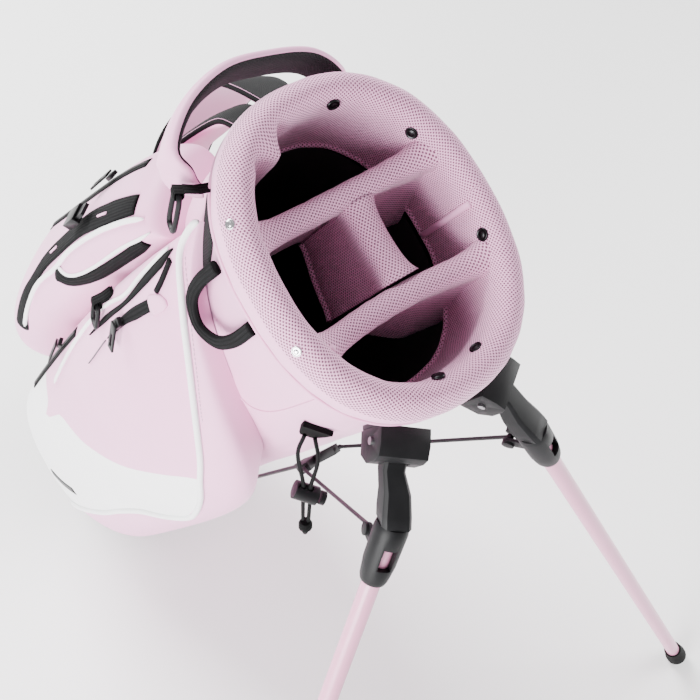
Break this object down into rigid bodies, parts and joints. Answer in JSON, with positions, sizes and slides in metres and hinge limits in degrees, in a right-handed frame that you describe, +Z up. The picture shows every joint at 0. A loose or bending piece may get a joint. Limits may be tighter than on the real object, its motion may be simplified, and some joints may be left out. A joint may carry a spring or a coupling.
{
  "type": "golf stand bag",
  "caption": "Golf carry bag with padded divided mouth, side pockets, grab handle and fold-out legs worked by a rocking base foot.",
  "frame": {"origin": "centre of the hinge line of the base foot, on its flat underside, on the ground; the bag stands open on its two legs", "axes": "+Z up, the bag leans towards -Y over its legs, +X to the right when looking along +Y"},
  "size_m": [0.7594, 0.831, 0.8655],
  "materials": {
    "coated_fabric": "matt coated polyester, pale lilac pink, fine grain",
    "spacer_mesh": "padded air mesh, pale lilac pink",
    "black_fabric": "black woven lining",
    "webbing": "black ribbed webbing and cord",
    "black_plastic": "matt black glass-filled nylon moulding",
    "leg_tube": "pale pink lacquered aluminium tube",
    "rubber": "black rubber",
    "steel": "plain zinc-plated steel"
  },
  "bodies": {
    "bag": {"body_shell_left": "coated_fabric", "body_shell_right": "coated_fabric", "inner_liner_left": "black_fabric", "inner_liner_right": "black_fabric", "stay_left": "black_plastic", "stay_right": "black_plastic", "stay_spine": "black_plastic", "collar_frame": "black_plastic", "rim_pad": "spacer_mesh", "upper_divider": "spacer_mesh", "lower_divider": "spacer_mesh", "centre_divider": "spacer_mesh", "base_cup": "black_plastic", "base_hinge_pin": "steel", "apparel_pocket": "coated_fabric", "ball_pocket": "coated_fabric", "right_pocket": "coated_fabric", "bottle_sleeve": "coated_fabric", "grab_handle": "coated_fabric", "cuff_webbing_loop": "webbing", "shoulder_strap_left": "coated_fabric", "shoulder_strap_right": "coated_fabric", "upper_ring_tab": "webbing", "middle_ring_tab": "webbing", "leg_mount_band": "black_plastic", "left_leg_housing": "black_plastic", "right_leg_housing": "black_plastic", "left_leg_hinge_pin": "steel", "right_leg_hinge_pin": "steel", "rod_guide": "black_plastic", "bungee_tab": "webbing", "bungee_strand_a": "webbing", "bungee_strand_b": "webbing", "cord_lock": "black_plastic", "bungee_knot": "webbing", "buckle_socket": "black_plastic"},
    "left_leg": {"left_leg_arm": "black_plastic", "left_leg_clamp": "black_plastic", "left_leg_tube": "leg_tube", "left_leg_boot": "rubber"},
    "right_leg": {"right_leg_arm": "black_plastic", "right_leg_clamp": "black_plastic", "right_leg_tube": "leg_tube", "right_leg_boot": "rubber"},
    "linkage": {"wire_yoke": "black_plastic", "push_rod": "steel"},
    "left_link_wire": {"left_wire": "black_plastic"},
    "right_link_wire": {"right_wire": "black_plastic"},
    "base_shoe": {"base_foot": "rubber"},
    "upper_d_ring": {"upper_ring": "black_plastic"},
    "middle_d_ring": {"middle_ring": "black_plastic"},
    "lock_button": {"cord_lock_button": "black_plastic"},
    "buckle_tongue": {"buckle_plug": "black_plastic"},
    "apparel_slider": {"apparel_zip_slider": "steel"},
    "apparel_pull_tab": {"apparel_zip_pull": "black_plastic"},
    "face_slider": {"face_zip_slider": "steel"},
    "face_pull_tab": {"face_zip_pull": "black_plastic"},
    "ball_slider": {"ball_zip_slider": "steel"},
    "ball_pull_tab": {"ball_zip_pull": "black_plastic"}
  },
  "joints": [
    {"name": "left_leg_fold", "type": "hinge", "parent": "bag", "child": "left_leg", "pos_m": [-0.048, -0.56909, 0.67046], "axis": [0.8175, -0.4876, -0.3066], "range_deg": [0, 47.86]},
    {"name": "right_leg_fold", "type": "hinge", "parent": "bag", "child": "right_leg", "pos_m": [0.048, -0.56909, 0.67046], "axis": [0.8175, 0.4876, 0.3066], "range_deg": [0, 47.86]},
    {"name": "yoke_slide", "type": "slide", "parent": "bag", "child": "linkage", "axis": [0, 0.5323, -0.8466], "range_m": [0, 0.03605]},
    {"name": "left_wire_swing", "type": "hinge", "parent": "linkage", "child": "left_link_wire", "pos_m": [-0.022, -0.42867, 0.44336], "axis": [-0.8097, 0.5254, 0.2615], "range_deg": [0, 16.98]},
    {"name": "right_wire_swing", "type": "hinge", "parent": "linkage", "child": "right_link_wire", "pos_m": [0.022, -0.42867, 0.44336], "axis": [-0.8097, -0.5254, -0.2615], "range_deg": [0, 16.98]},
    {"name": "base_foot_rock", "type": "hinge", "parent": "bag", "child": "base_shoe", "pos_m": [0, -0.055, 0.005], "axis": [1, 0, 0], "range_deg": [0, 32.16]},
    {"name": "upper_ring_swing", "type": "hinge", "parent": "bag", "child": "upper_d_ring", "pos_m": [-0.107, -0.37995, 0.81301], "axis": [-0.3378, -0.9412, 0], "range_deg": [-100, 0]},
    {"name": "middle_ring_swing", "type": "hinge", "parent": "bag", "child": "middle_d_ring", "pos_m": [-0.1375, -0.28082, 0.62492], "axis": [-0.3114, -0.9503, 0], "range_deg": [-100, 0]},
    {"name": "apparel_zip_slide", "type": "slide", "parent": "bag", "child": "apparel_slider", "axis": [-0.006, 0.531, -0.8473], "range_m": [0, 0.1]},
    {"name": "apparel_pull_swing", "type": "hinge", "parent": "apparel_slider", "child": "apparel_pull_tab", "pos_m": [-0.14456, -0.18841, 0.48878], "axis": [0.6184, 0.7859, 0], "range_deg": [0, 90]},
    {"name": "face_zip_slide", "type": "slide", "parent": "bag", "child": "face_slider", "axis": [-0.0831, 0.5444, -0.8347], "range_m": [0, 0.1]},
    {"name": "face_pull_swing", "type": "hinge", "parent": "face_slider", "child": "face_pull_tab", "pos_m": [-0.14497, -0.32457, 0.64438], "axis": [0.1775, 0.9841, 0], "range_deg": [0, 90]},
    {"name": "ball_zip_slide", "type": "slide", "parent": "bag", "child": "ball_slider", "axis": [-0.0672, 0.649, -0.7578], "range_m": [0, 0.1]},
    {"name": "ball_pull_swing", "type": "hinge", "parent": "ball_slider", "child": "ball_pull_tab", "pos_m": [-0.07251, -0.2064, 0.68555], "axis": [0.8707, 0.4918, 0], "range_deg": [0, 90]},
    {"name": "cord_lock_press", "type": "slide", "parent": "bag", "child": "lock_button", "axis": [-0.6788, 0.6216, 0.3909], "range_m": [0, 0.0018], "stiffness_N_per_m": 600},
    {"name": "buckle_release", "type": "slide", "parent": "bag", "child": "buckle_tongue", "axis": [0.1365, -0.6182, 0.7741], "range_m": [0, 0.03]}
  ],
  "couplings": [
    {"joint": "right_leg_fold", "follows": "left_leg_fold", "ratio": 1},
    {"joint": "yoke_slide", "follows": "left_leg_fold", "m_per_rad": 0.043157},
    {"joint": "left_wire_swing", "follows": "left_leg_fold", "ratio": 0.35486},
    {"joint": "right_wire_swing", "follows": "left_leg_fold", "ratio": 0.35486},
    {"joint": "base_foot_rock", "follows": "left_leg_fold", "ratio": 0.67196}
  ]
}
